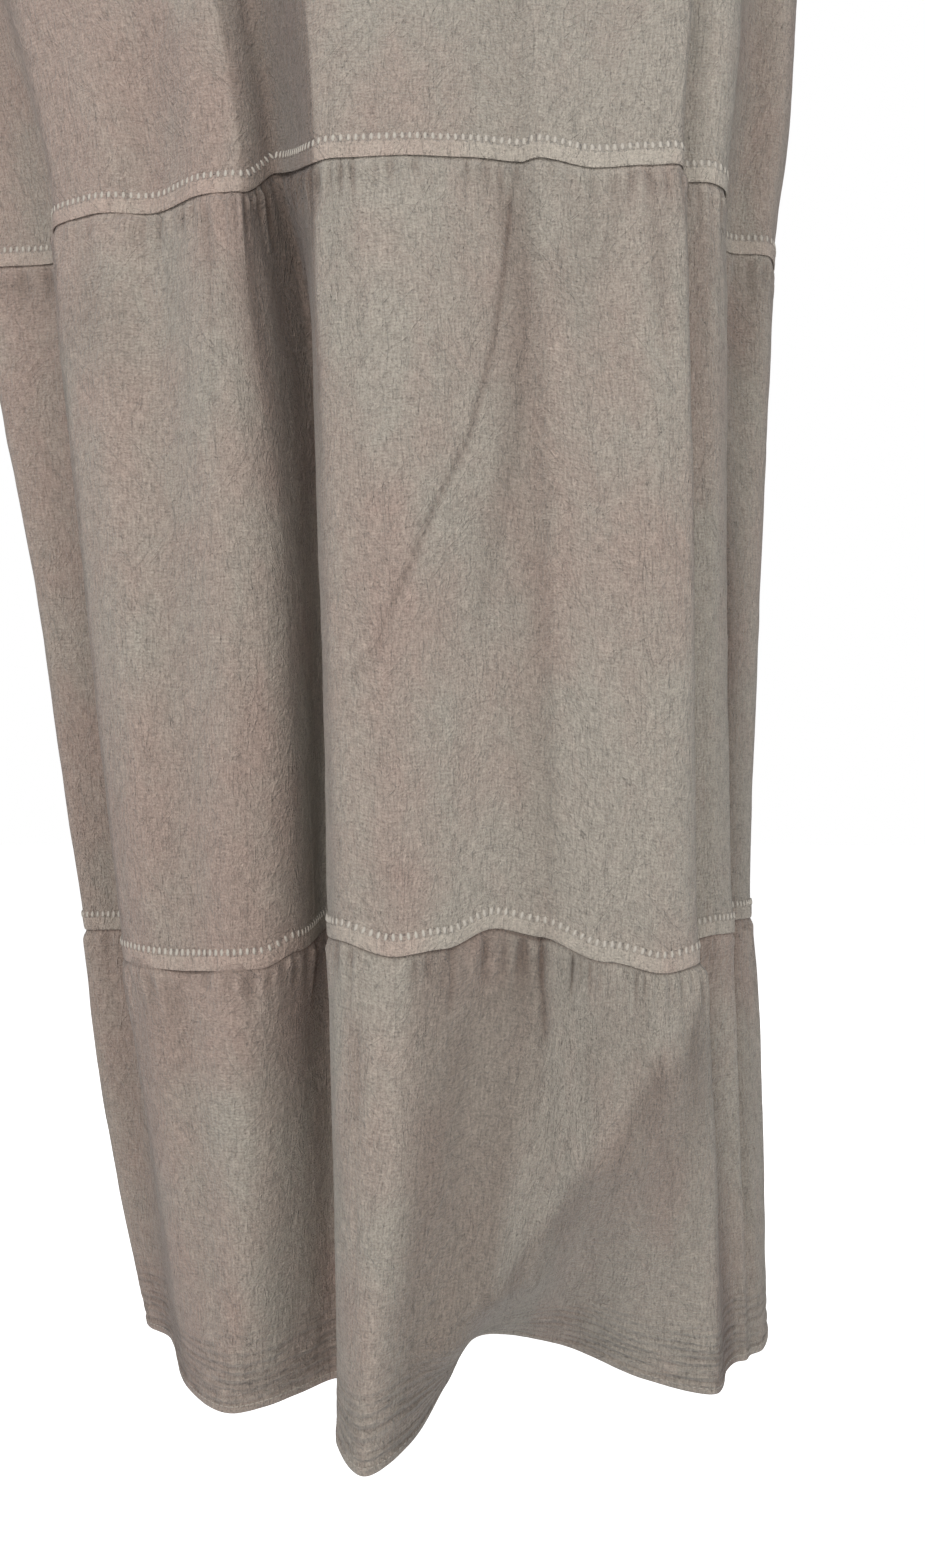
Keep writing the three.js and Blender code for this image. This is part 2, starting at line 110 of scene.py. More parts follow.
# One row per height of the body: height, half width, sideways lean, half depth, armhole edge from the
# middle plane, share of the skirt's folds.
BODY = np.array(
    [
        (-680, 228, 0, 108, 0, 1),
        (-600, 240, -3, 110, 0, 0.92),
        (-520, 251, -9, 113, 0, 0.72),
        (-400, 259, -6, 117, 0, 0.34),
        (-300, 258, -2, 121, 0, 0.08),
        (-245, 247, 0, 122, 0, 0),
        (-230, 226, 0, 122, 22, 0),
        (-190, 205, 0, 120, 45, 0),
        (-140, 190, 0, 115, 53, 0),
        (-85, 191, 0, 106, 50, 0),
        (0, 203, 0, 96, 46, 0),
    ],
    float,
)

# Soft folds and creases: panel, points as x and z, half width, depth (positive is a ridge), how much steeper
# the right flank is than the left one, and how much painted shade darkens the cloth colour along it, where
# the fold lies in shade.
# The long slanting crease of the middle tier is a ridge with a trough beside it.
SLANT_RIDGE = ((70, -690), (66, -735), (62, -765), (51, -808), (35, -841), (22, -872), (4, -914))
SLANT_TROUGH = (
    (72.6, -690), (68.6, -735), (64.6, -765), (53.6, -808), (37.6, -842), (24.6, -873), (6.6, -915),
)
CREASES = (
    ("body", ((-113, -590), (-110, -710)), 13, -3.6, 1, 0.12),
    ("body", ((-140, -590), (-135, -710)), 13, 3.0, 1, 0),
    ("body", ((-86, -590), (-80, -710)), 12, 3.0, 1, 0),
    ("body", ((74, -590), (76, -650), (79, -710)), 18, -4.6, 3.4, 0.12),
    ("body", ((94, -590), (96, -710)), 13, 1.6, 1, 0),
    ("body", ((20, -590), (24, -710)), 16, 1.2, 1, 0),
    ("middle", ((-136, -640), (-131, -800), (-122, -900), (-110, -1090)), 13, 3.0, 1, 0),
    ("middle", ((-112, -640), (-104, -800), (-97, -900), (-88, -1090)), 13, -3.6, 1, 0.12),
    ("middle", ((-82, -640), (-75, -800), (-71, -900), (-64, -1090)), 12, 3.0, 1, 0),
    ("middle", ((76, -650), (82, -760), (86, -860), (90, -1100)), 18, -4.6, 3.4, 0.18),
    ("middle", ((82, -720), (87, -860), (90, -1020)), 20, -1.8, 3.0, 0.1),
    ("middle", ((96, -650), (102, -860), (105, -1100)), 13, 1.6, 1, 0),
    ("middle", ((22, -650), (26, -860), (30, -1100)), 16, 1.2, 1, 0),
    ("middle", ((138, -700), (146, -880), (148, -1040)), 14, 1.0, 1, 0),
    ("middle", ((122, -740), (128, -880), (132, -1020)), 12, -1.0, 1, 0),
    ("middle", SLANT_RIDGE, 1.5, 0.8, 1, 0),
    ("middle", SLANT_TROUGH, 1.3, -1.1, 1, 0.6),
    ("middle", ((77, -690), (79, -740), (75, -808), (67, -850), (56, -910)), 9, 0, 2.2, 0.3),
    ("middle", ((16, -905), (6, -914), (-4, -926)), 1.3, -0.9, 1, 0.35),
    ("middle", ((-76, -690), (-75, -740), (-73, -805)), 1.2, -0.7, 1, 0.2),
    ("bottom", ((-115, -1020), (-104, -1180), (-92, -1290)), 13, 3.0, 1, 0),
    ("bottom", ((-92, -1020), (-84, -1180), (-80, -1260)), 13, -3.6, 1, 0.1),
    ("bottom", ((-68, -1020), (-62, -1180), (-58, -1290)), 12, 3.0, 1, 0),
    ("bottom", ((90, -1000), (90, -1150), (76, -1260)), 18, -4.6, 3.2, 0.12),
    ("bottom", ((104, -1000), (104, -1120), (98, -1200)), 13, 1.6, 1, 0),
    ("bottom", ((88, -1040), (89, -1068), (91, -1104)), 1.6, -1.6, 1, 0.5),
    ("bottom", ((45, -1040), (45, -1064), (44, -1084)), 1.5, -1.3, 1, 0.4),
    ("bottom", ((2, -1058), (0, -1150), (-2, -1262)), 1.3, -0.6, 1, 0.15),
)

# Shade in the hollows, one row per hollow: first and last fold row it lies between, share of that width
# over which it fades in and out, and how dark it is at the first seam, half way down, above the second
# seam, below it and at the hem.
HOLLOWS = {
    "beside the left fold": (1.2, 3.04, 0.55, 0.04, 0.25, 0.36, 0.36, 0.36, 0.34),
    "deep valley": (5.95, 7.0, 0.03, 0.5, 0.6, 0.12, 0.15, 0.2, 0.15),
    "right wall of the valley": (6.3, 8.0, 0.2, 0.04, 0.9, 0.15, 0.05, 0.05, 0.05),
    "left fold turning in": (4.6, 6.4, 0.8, 0.2, 0.0, 0.25, 0.26, 0.26, 0.26),
    "beside the centre crest": (9.1, 12.2, 0.28, 0.2, 0.0, 0.0, 0.0, 0.44, 0.66),
    "right tuck": (14.9, 16.0, 0.2, 0.7, 0.25, 0.32, 0.3, 0.3, 0.5),
    "right tuck at the hem": (15.1, 17.4, 0.15, 0.5, 0.0, 0.0, 0.0, 0.3, 0.75),
    "right hollow": (18.1, 20.8, 0.1, 0.5, 0.3, 0.95, 0.5, 0.4, 0.12),
    "back right outer hollow": (23.3, 24.7, 0.4, 0.4, 0.3, 0.4, 0.4, 0.4, 0.3),
    "back right hollow": (25.4, 26.6, 0.4, 0.4, 0.1, 0.4, 0.6, 0.6, 0.5),
    "back middle hollow": (27.4, 28.6, 0.4, 0.4, 0.1, 0.5, 0.8, 0.8, 0.7),
    "back left hollow": (29.4, 30.6, 0.4, 0.4, 0.1, 0.4, 0.5, 0.5, 0.5),
    "back left outer hollow": (31.3, 32.7, 0.4, 0.4, 0.2, 0.4, 0.5, 0.5, 0.4),
}


def clamp01(value):
    return np.clip(value, 0.0, 1.0)


def mix(a, b, t):
    return a + (b - a) * t


def smooth(t):
    t = clamp01(t)
    return t * t * (3 - 2 * t)


def hermite(p0, p1, p2, p3, d0, d1, d2, t):
    """Cubic through p1 and p2 whose slopes come from the neighbours, weighted by the uneven distances."""
    m1 = ((p2 - p1) / d1 * d0 + (p1 - p0) / d0 * d1) / (d0 + d1) * d1
    m2 = ((p3 - p2) / d2 * d1 + (p2 - p1) / d1 * d2) / (d1 + d2) * d1
    t2 = t * t
    t3 = t2 * t
    return p1 * (2 * t3 - 3 * t2 + 1) + m1 * (t3 - 2 * t2 + t) + p2 * (3 * t2 - 2 * t3) + m2 * (t3 - t2)


def fold_points(level):
    """Every fold point at each level (0 first seam, 1 middle, 2 second seam, 3 hem): (levels, rows, 2)."""
    level = np.atleast_1d(np.asarray(level, float))
    k = np.clip(np.floor(level), 0, 2).astype(int)
    t = (level - k)[:, None]
    planes = []
    for first in (0, 1):
        keys = TABLE[:, first:8:2].T
        a, b = keys[np.maximum(k - 1, 0)], keys[k]
        c, d = keys[k + 1], keys[np.minimum(k + 2, 3)]
        planes.append(hermite(a, b, c, d, 1.0, 1.0, 1.0, t))
    x, y = planes
    upper, lower = (k == 0)[:, None], (k == 2)[:, None]
    early, late = TABLE[:, 11][None], TABLE[:, 10][None]
    quick = 1 - (1 - t) ** early
    x = np.where(upper & (early > 1), mix(TABLE[:, 0], TABLE[:, 2], quick), x)
    y = np.where(upper & (early > 1), mix(TABLE[:, 1], TABLE[:, 3], quick), y)
    pace = TABLE[:, 12][None]
    x = np.where(lower & (pace != 1), mix(TABLE[:, 4], TABLE[:, 6], t**pace), x)
    wait = clamp01((t - late) / (1 - late)) ** 1.15
    y = np.where(lower & (late > 0), mix(TABLE[:, 5], TABLE[:, 7], wait), y)
    return np.stack([x, y], -1)


def ring(level, c):
    """Closed smooth curve through the fold points of each level, read at columns c: (levels, columns, 2)."""
    points = fold_points(level)
    i = np.floor(c).astype(int)
    t = (c - i)[None, :, None]
    p = [points[:, (i + k) % ROWS] for k in (-1, 0, 1, 2)]
    d = [np.sqrt(np.linalg.norm(p[k + 1] - p[k], axis=2, keepdims=True)) for k in range(3)]
    return hermite(*p, *d, t)


def fold_value(name, c):
    """One named column of the fold table, eased between rows."""
    i = np.floor(c).astype(int)
    values = TABLE[:, COLUMNS.index(name)]
    return mix(values[i % ROWS], values[(i + 1) % ROWS], smooth(c - i))


def body_value(column, z):
    """One column of the body table at heights z, on a smooth curve through its rows."""
    zs, values = BODY[:, 0], BODY[:, column]
    last = len(zs) - 1
    k = np.clip(np.searchsorted(zs, z, side="right") - 1, 0, last - 1)

    def get(n):
        return values[np.clip(n, 0, last)]

    def gap(n):
        return np.maximum(1.0, zs[np.clip(n + 1, 0, last)] - zs[np.clip(n, 0, last)])

    t = clamp01((z - zs[k]) / gap(k))
    return hermite(get(k - 1), get(k), get(k + 1), get(k + 2), gap(k - 1), gap(k), gap(k + 1), t)


def span_of(side):
    return (0, RIGHT_SEAM) if side == "front" else (RIGHT_SEAM, ROWS)


def columns_for(side, count, level, extra=()):
    """Columns spread by arc length at a level, closer at the turned fold, and the arc length at each."""
    start, end = span_of(side)
    fine = np.linspace(start, end - 1e-6, 6000)
    points = ring([level], fine)[0]
    steps = np.linalg.norm(np.diff(points, axis=0), axis=1)
    arc = np.concatenate([[0], np.cumsum(steps)])
    weight = 1 + 0.9 * smooth((2.4 - np.abs(fine - 10.4)) / 0.6)
    share = np.concatenate([[0], np.cumsum(steps * weight[1:])])
    c = np.interp(np.linspace(0, share[-1], count), share, fine)
    if len(extra):
        c = np.unique(np.concatenate([c, extra]))
    return c, np.interp(c, fine, arc)


def across(side, c):
    """Share across the front or back, -1 at the left seam to 1 at the right, by chord lengths at seam one."""
    start, end = span_of(side)
    points = fold_points([0.0])[0]
    chords = np.linalg.norm(np.roll(points, -1, axis=0) - points, axis=1)[start:end]
    knots = np.concatenate([[0], np.cumsum(chords)]) / chords.sum()
    share = np.interp(c, np.arange(start, end + 1), knots) * 2 - 1
    return share if side == "front" else -share


def top_edge(x, neck):
    """Height of the shoulder and neck edge at share x across: a sloping shoulder and a scooped neck."""
    neck_share = NECK_HALF / SHOULDER_HALF
    a = np.abs(x)
    shoulder = -(a - neck_share) * SHOULDER_HALF * SHOULDER_SLOPE
    scoop = -neck * (1 - np.minimum(1, a / neck_share) ** 2.4) ** 0.85
    return np.where(a >= neck_share, shoulder, scoop)


def body_surface(side, c, z):
    """Body points (rows, columns, 3): an oval of the table's width and depth rounded over at the shoulders,
    turning into the skirt's folded ring towards the first seam."""
    x = across(side, c)[None]
    half, lean = body_value(1, z), body_value(2, z)
    deep, edge = body_value(3, z), np.maximum(0, body_value(4, z))
    folds = clamp01(body_value(5, z))
    turn = mix(np.sin(x * np.pi / 2), x, smooth((z + 420) / 175))
    px = half * np.where(z > UNDERARM, x, turn)
    bow = np.maximum(0, np.cos(np.minimum(1, np.abs(px / half)) ** 1.25 * np.pi / 2)) ** 0.75
    roof = -np.maximum(0, np.abs(x) * SHOULDER_HALF - NECK_HALF) * SHOULDER_SLOPE
    fall = clamp01((roof - z) / SHOULDER_ROUND)
    over = np.sqrt(np.maximum(0, 1 - (1 - fall) ** 2))
    py = (edge + (deep - edge) * bow) * over + 0.1
    sign = -1 if side == "front" else 1
    low = ring([0.0], c)[0]
    fx, fy = low[:, 0][None] * half / FIRST_SEAM_HALF, low[:, 1][None]
    return np.stack([mix(px, fx, folds) + lean, mix(sign * py + 14 * folds, fy, folds), z], -1)


def tier_surface(tier, c, drops):
    """Tier points (rows, columns, 3) at drops below the upper seam: the folded ring carried down."""
    length = MIDDLE_DROP if tier == "middle" else BOTTOM_DROP
    v = drops / length
    level = np.clip(2 * v if tier == "middle" else 2 + v, 0, 3)
    flat = ring(level, c)
    if tier == "middle":
        top = -BODY_LENGTH + fold_value("lift1", c)
        low = -BODY_LENGTH - MIDDLE_DROP + fold_value("lift2", c)
    else:
        top = -BODY_LENGTH - MIDDLE_DROP + fold_value("lift2", c)
        low = np.full_like(c, -TOTAL)
    z = mix(top[None], low[None], v[:, None])
    return np.dstack([flat, z])


def noise(u, v, seed):
    """Soft random field, -1 to 1: random values on a lattice of unit cells, eased between them."""
    table = np.random.default_rng(seed).uniform(-1, 1, (257, 257))
    iu, iv = np.floor(u).astype(int), np.floor(v).astype(int)
    tu, tv = smooth(u - iu), smooth(v - iv)

    def at(a, b):
        return table[(iu + a) % 257, (iv + b) % 257]

    return mix(mix(at(0, 0), at(1, 0), tu), mix(at(0, 1), at(1, 1), tu), tv)


def gathers(arc, drop, depth, reach, seed):
    """Uneven gathers under a seam: crests and troughs 3 to 6 mm apart, each fading at its own length."""
    rng = np.random.default_rng(seed)
    places = np.cumsum(rng.uniform(2.6, 6.2, 700)) - 12
    swing = np.where(np.arange(700) % 2, -1.0, 1.0) * rng.uniform(0.35, 1.15, 700) ** 2
    length = reach * rng.uniform(0.3, 1.3, 700)
    k = np.clip(np.searchsorted(places, arc) - 1, 0, 698)
    t = smooth((arc - places[k]) / (places[k + 1] - places[k]))
    wave, own = mix(swing[k], swing[k + 1], t)[None], mix(length[k], length[k + 1], t)[None]
    drop = drop[:, None]
    puff = 0.1 + 0.9 * smooth((drop - 0.3) / 5)
    long_wave = noise(arc[None] / 12, drop / 60, seed + 1) * smooth(drop / 12) * (1 - smooth(drop / 140))
    return depth * (wave * puff * (1 - smooth(drop / own)) + 0.7 * long_wave)


def crease_relief(panel, points):
    """The listed creases as relief and painted shade: a bell across each line, fading towards both ends."""
    total, shade = np.zeros(points.shape[:2]), np.zeros(points.shape[:2])
    x, z = points[..., 0], points[..., 2]
    front = points[..., 1] < 30
    for where, line, width, depth, steep, dark in CREASES:
        if where != panel:
            continue
        line = np.array(line, float)
        lengths = np.linalg.norm(np.diff(line, axis=0), axis=1)
        whole, run = lengths.sum(), 0.0
        best, along, right = np.full(x.shape, 1e9), np.zeros(x.shape), np.zeros(x.shape, bool)
        for a, b, size in zip(line[:-1], line[1:], lengths):
            t = clamp01(((x - a[0]) * (b[0] - a[0]) + (z - a[1]) * (b[1] - a[1])) / size**2)
            sideways = x - mix(a[0], b[0], t)
            far = np.hypot(sideways, z - mix(a[1], b[1], t))
            near = far < best
            best, along = np.where(near, far, best), np.where(near, (run + t * size) / whole, along)
            right = np.where(near, sideways > 0, right)
            run += size
        ends = smooth(along / 0.12 + 0.45) * smooth((1 - along) / 0.2 + 0.2)
        own = np.where(right, width / steep, width)
        bell = np.exp(-((best / own) ** 2)) * ends * front
        total += depth * bell
        shade += dark * bell
    return total, shade


def normals(points):
    """Unit normals of a grid whose rows run down and whose columns run round, facing out."""
    down, along = np.gradient(points, axis=0), np.gradient(points, axis=1)
    n = np.cross(down, along)
    return n / np.maximum(1e-9, np.linalg.norm(n, axis=2, keepdims=True))


def cloth_wrinkles(arc, down, seed):
    """Soft hanging waves, long and short, and the upright crinkle of the gauze, in mm."""
    a, d = arc[None], down[:, None]
    waves = 1.3 * noise(a / 36, d / 300, seed) + 0.6 * noise(a / 15, d / 130, seed + 2)
    bend = 2.2 * noise(a / 30, d / 18, seed + 3)
    return waves + 0.26 * noise((a + bend) / 4.4, d / 16, seed + 4)


def shell(name, points, thickness, arc, down, attributes, material):
    """Closed thin wall: the outer grid, the same grid moved in by the thickness, and a rim round both."""
    rows, cols = points.shape[:2]
    count = rows * cols
    inner = points - normals(points) * thickness
    verts = np.concatenate([points.reshape(-1, 3), inner.reshape(-1, 3)]) * MM
    index = np.arange(count).reshape(rows, cols)
    quads = np.stack([index[:-1, :-1], index[1:, :-1], index[1:, 1:], index[:-1, 1:]], -1).reshape(-1, 4)
    edge = np.concatenate([index[:, 0], index[-1, 1:], index[-2::-1, -1], index[0, -2:0:-1]])
    after = np.roll(edge, -1)
    rim = np.stack([edge, edge + count, after + count, after], -1)
    faces = np.concatenate([quads, quads[:, ::-1] + count, rim])
    mesh = bpy.data.meshes.new(name)
    mesh.from_pydata(verts, [], faces.tolist())
    mesh.polygons.foreach_set("use_smooth", np.ones(len(faces), bool))
    flat = np.stack(np.broadcast_arrays(arc[None], down[:, None]), -1).reshape(-1, 2) * MM
    loops = np.zeros(len(mesh.loops), np.int32)
    mesh.loops.foreach_get("vertex_index", loops)
    layer = mesh.uv_layers.new(name="cloth")
    layer.data.foreach_set("uv", np.tile(flat, (2, 1))[loops].astype(np.float32).ravel())
    for key, value in attributes.items():
        field = mesh.attributes.new(key, "FLOAT", "POINT")
        value = np.broadcast_to(value, (rows, cols)).reshape(-1)
        field.data.foreach_set("value", np.tile(value, 2).astype(np.float32))
    mesh.materials.append(material)
    mesh.update()
    obj = bpy.data.objects.new(name, mesh)
    obj["columns"] = cols
    bpy.context.scene.collection.objects.link(obj)
    return obj


def painted_hollow_shade(c, level):
    """Painted shade, 0 to 1: how far the cloth colour is darkened at each point of the hollows, where they
    lie in shade; a plateau across with its own fade on each side.
    """
    total = np.zeros((len(level), len(c)))
    for first, last, fade_in, fade_out, *shades in HOLLOWS.values():
        width = last - first
        hump = smooth((c - first) / (width * fade_in)) * smooth((last - c) / (width * fade_out))
        depth = np.interp(level, (0, 1, 1.999, 2.001, 3), shades)
        total = np.maximum(total, depth[:, None] * hump[None])
    return total


def rosy_share(points, arc, down, seed):
    """Share of the rosier shade, 0 to 1: broad soft patches, more of them on the left of the front."""
    left = smooth((50 - points[..., 0]) / 170) * 0.7
    broad = noise(arc[None] / 46, down[:, None] / 95, seed + 20)
    small = noise(arc[None] / 19, down[:, None] / 44, seed + 21)
    return clamp01(0.14 + left + 0.55 * (broad + 0.6 * small))


def seam_pinch(arc):
    """Draws the cloth in by up to a millimetre beside the side seams."""
    gap = np.minimum(arc - arc[0], arc[-1] - arc)
    return -0.9 * np.exp(-((gap / 2.2) ** 2))[None]


def tier_rows(length, foot):
    """Drops of the grid rows: under the band above, close below the seam, even, and close at the foot."""
    head = [-3.5, -1.5, -0.2, 0.6, 1.5, 2.6, 4, 5.6, 7.5, 9.6, 12, 15, 18.5, 22.5, 27, 32, 38, 44]
    step, reach, close = (4.2, 44, 1.25) if length < 300 else (5.2, 24, 2.4)
    body = np.arange(50, length - foot - reach - 2, step)
    ripples = np.arange(length - foot - reach, length - foot - 1.4, close)
    tail = length - np.array([foot + 0.7, foot + 0.25, foot - 0.25, foot * 0.55, foot * 0.2, 0.3, 0.0])
    return np.concatenate([head, body, ripples, tail])


def hem_ripples(arc, above_foot, seed):
    """Low ripples along the hem, bent and broken by noise, and a mask of the valleys between them for painted
    shade.
    """
    height = above_foot[:, None]
    sway = height / 6.0 + 1.5 * noise(arc[None] / 38, height / 30, seed + 9)
    swell = clamp01(0.5 + 1.1 * noise(arc[None] / 27, height / 11, seed + 7))
    ridge = np.abs(np.cos(np.pi * sway))
    near_hem = (1 - smooth((height - 14) / 24)) * smooth((height - 2) / 5)
    uneven = 0.25 * noise(arc[None] / 14, height / 3.4, seed + 8)
    valleys = clamp01((0.4 - ridge) / 0.4) * swell * near_hem
    return (0.8 * (ridge - 0.6) * swell + uneven) * near_hem, valleys


def build_tier(tier, side, sizes, material):
    """One tier panel: ring surface moved out by gathers, waves, creases, and its band or turned hem."""
    bottom = tier == "bottom"
    length = BOTTOM_DROP if bottom else MIDDLE_DROP
    foot = sizes.hem_height if bottom else sizes.band_height
    foot = foot / MM
    count = 500 if side == "front" else 330
    c, arc = columns_for(side, count, 2.7 if bottom else 1.3)
    drops = tier_rows(length, foot)
    base = tier_surface(tier, c, drops)
    seed = (40 if bottom else 10) + (0 if side == "front" else 5)
    pleats = gathers(arc, drops, sizes.gather_depth / MM, sizes.gather_reach / MM, seed)
    calm = smooth((length - drops + (4 if bottom else -2)) / (60 if bottom else 26))[:, None]
    relief = pleats + cloth_wrinkles(arc, drops, seed) * smooth(drops / 30)[:, None] * mix(0.25, 1, calm)
    creases, lines = crease_relief(tier, base)
    relief = relief + creases + seam_pinch(arc)
    # Painted shade: the cloth colour is darkened along the creases and in the gather troughs, where they lie
    # in shade.
    troughs = 0.85 * lines + clamp01(-pleats / 1.4) * 0.42
    above_foot = length - drops
    if bottom:
        lift, valleys = hem_ripples(arc, above_foot, seed)
        relief = relief + lift
        # Painted shade below the slanting fold of the bottom tier, where the cloth leans back and faces down.
        share, late = drops[:, None] / length, fold_value("late", c)[None]
        turned = smooth((share - late + 0.07) / 0.1) * (1 - 0.8 * smooth((share - late) / (1 - late)))
        troughs = troughs + 0.46 * turned * smooth((c - 11.4) / 0.8) * smooth((15.3 - c) / 0.8)
        # Painted shade in the valleys between the hem ripples.
        troughs = troughs + 0.25 * valleys
        # Painted shade: a thin dark line just under the band of the seam above.
        troughs = troughs + 0.5 * np.exp(-(((drops - 0.4) / 1.0) ** 2))[:, None]
        hem = (1 - smooth((above_foot - foot + 0.3) / 0.6)) * 0.55
        roll = -0.5 * (1 - smooth(above_foot / 0.8))
        relief = relief + (hem + roll)[:, None]
    else:
        band = (1 - smooth((above_foot - foot + 0.3) / 0.6)) * 0.75
        roll = -0.3 * (1 - smooth(above_foot / 0.6))
        relief = relief + (band + roll)[:, None]
    tuck = -0.55 + 1.15 * smooth((drops + 0.5) / 6) - 0.6 * smooth(drops / 40)
    points = base + normals(base) * (relief + tuck[:, None])[..., None]
    level = np.clip(2 * drops / length if not bottom else 2 + drops / length, 0, 3)
    ripple = (1 - smooth((above_foot - 20) / 38)) * smooth((above_foot - 1.5) / 4) * bottom
    # The hollow mark is painted shade: it darkens the cloth colour in the hollows, creases and troughs.
    marks = {
        "hollow": clamp01(painted_hollow_shade(c, level) + troughs),
        "rosy": rosy_share(points, arc, drops, seed),
        "foot": above_foot[:, None] * MM,
        "band": (above_foot < foot)[:, None] * float(not bottom),
        "ripple": ripple[:, None],
    }
    return shell(f"{tier}_tier_cloth_{side}", points, sizes.cloth / MM, arc, drops, marks, material)


def body_heights(side, c, foot):
    """Heights of the body grid (rows, columns): close at the edge on top, close at the band below."""
    neck = NECK_FRONT if side == "front" else NECK_BACK
    low = -BODY_LENGTH + fold_value("lift1", c)
    high = top_edge(across(side, c), neck)
    near = [0, 0.4, 1.2, 2.4, 4, 6, 7.8, 8.4, 11, 15, 20, 26, 33, 41, 50, 60, 71, 83]
    tail = np.array([24, 18, 14, foot + 0.7, foot + 0.25, foot - 0.25, foot * 0.55, foot * 0.2, 0.3, 0.0])
    shares = np.linspace(0, 1, 78)[1:-1] ** 0.96
    top, bottom = high - 83, low + 24
    rows = [high - n for n in near]
    rows += [mix(top, bottom, s) for s in shares]
    rows += [low + n for n in tail]
    return np.stack(rows), low, high


def build_body(side, sizes, material):
    """One body panel: oval-to-folds surface with turned edges, soft waves, creases and the seam band."""
    foot = sizes.band_height / MM
    start, end = span_of(side)
    grid = np.linspace(start, end - 1e-6, 4000)
    share = across(side, grid)
    close = (0.9, 0.95, 0.975, 0.99, 0.998, 1.002, 1.01)
    near_neck = np.array([s * NECK_HALF / SHOULDER_HALF * f for s in (-1, 1) for f in close])
    order = np.argsort(share)
    extra = np.interp(near_neck, share[order], grid[order])
    c, arc = columns_for(side, 330, 0.0, extra)
    z, low, high = body_heights(side, c, foot)
    base = body_surface(side, c, z)
    above_foot = z - low[None]
    seed = 70 if side == "front" else 75
    down = -z.mean(1)
    calm = smooth((above_foot - 4) / 26) * smooth((high[None] - z) / 40)
    relief = cloth_wrinkles(arc, down, seed) * mix(0.2, 1, calm)
    creases, lines = crease_relief("body", base)
    relief = relief + creases
    pinch = seam_pinch(arc) * smooth((UNDERARM - z) / 12)
    band = (1 - smooth((above_foot - foot + 0.3) / 0.6)) * 0.75 - 0.3 * (1 - smooth(above_foot / 0.6))
    half = body_value(1, z)
    from_arm = (1 - np.abs(across(side, c)))[None] * half
    from_edge = np.where(z > UNDERARM, np.minimum(from_arm, high[None] - z), high[None] - z)
    turned = (1 - smooth((from_edge - 7.9) / 0.6)) * 0.6 - 0.4 * (1 - smooth(from_edge / 0.8))
    shoulder = (np.abs(across(side, c)) > NECK_HALF / SHOULDER_HALF)[None] & (high[None] - z <= from_arm)
    turned = np.where(shoulder, -0.6 * np.exp(-(((high[None] - z) / 2.0) ** 2)), turned)
    points = base + normals(base) * (relief + pinch + band + turned)[..., None]
    # The hollow mark is painted shade in the hollows and along the creases, fading out up the body.
    marks = {
        "hollow": clamp01(0.8 * painted_hollow_shade(c, np.zeros(1)) + lines) * smooth((-z - 420) / 200),
        "rosy": rosy_share(points, arc, down, seed),
        "foot": above_foot * MM,
        "band": (above_foot < foot) * 1.0,
        "ripple": 0.0 * above_foot,
    }
    return shell(f"body_cloth_{side}", points, sizes.cloth / MM, arc, down, marks, material)


def lump_mesh(name, centres, along, up, out, size, material):
    """Small flattened ovals, one per stitch: eight sides and three rings carried to every centre."""
    turn = np.linspace(0, 2 * np.pi, 8, endpoint=False)
    tilt = np.array([-0.5, 0.0, 0.55]) * np.pi / 2 * 0.9
    unit = [(0.0, 0.0, 1.0)]
    for b in tilt[::-1]:
        unit += [(math.cos(b) * math.cos(a), math.cos(b) * math.sin(a), math.sin(b)) for a in turn]
    unit += [(0.0, 0.0, -1.0)]
    unit = np.array(unit)
    ring_faces = []
    for r in range(2):
        for k in range(8):
            a, b = 1 + r * 8 + k, 1 + r * 8 + (k + 1) % 8
            ring_faces.append((a, a + 8, b + 8, b))
    caps = [(0, 1 + k, 1 + (k + 1) % 8) for k in range(8)]
    caps += [(25, 17 + (k + 1) % 8, 17 + k) for k in range(8)]
    place = (
        centres[:, None]
        + unit[None, :, :1] * along[:, None] * size[0]
        + unit[None, :, 1:2] * up[:, None] * size[1]
        + unit[None, :, 2:] * out[:, None] * size[2]
    )
    verts = place.reshape(-1, 3) * MM
    offsets = np.arange(len(centres))[:, None, None] * len(unit)
    quads = (np.array(ring_faces)[None] + offsets).reshape(-1, 4).tolist()
    tris = (np.array(caps)[None] + offsets).reshape(-1, 3).tolist()
    mesh = bpy.data.meshes.new(name)
    mesh.from_pydata(verts, [], quads + tris)
    mesh.polygons.foreach_set("use_smooth", np.ones(len(mesh.polygons), bool))
    mesh.materials.append(material)
    mesh.update()
    obj = bpy.data.objects.new(name, mesh)
    bpy.context.scene.collection.objects.link(obj)
    return obj


